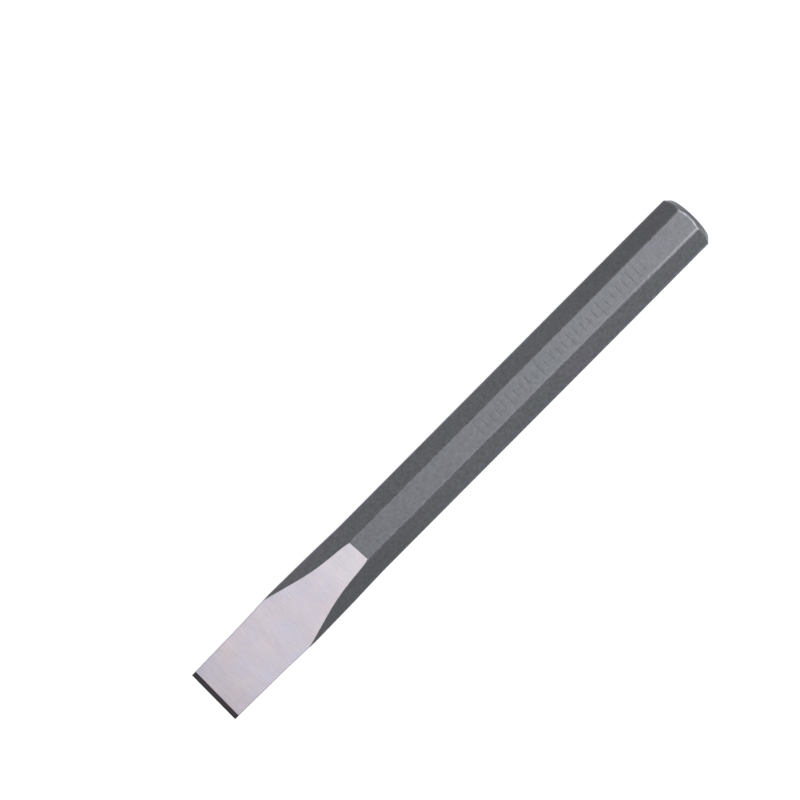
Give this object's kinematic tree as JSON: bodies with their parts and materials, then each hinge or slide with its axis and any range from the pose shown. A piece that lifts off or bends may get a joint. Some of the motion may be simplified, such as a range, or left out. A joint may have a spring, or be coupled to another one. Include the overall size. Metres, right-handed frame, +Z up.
{
  "type": "cold chisel",
  "caption": "One-piece cold chisel for cutting metal: octagon shank with a chamfered striking head, dark coat, bare ground cheeks and a straight bevelled cutting edge.",
  "frame": {"origin": "on the surface that the chisel lies on, under the middle of its length and width", "axes": "+X from the cutting edge to the striking face, +Y along the cutting edge, +Z up from the flat that it lies on"},
  "size_m": [0.2, 0.0198, 0.0185],
  "materials": {
    "ground_steel": "ground across the blade, bare and bright",
    "grey_lacquer": "thin satin dark grey lacquer with a fine mottled grain"
  },
  "bodies": {
    "root": {"steel_forging": "ground_steel", "lacquer_coat": "grey_lacquer"}
  },
  "joints": []
}
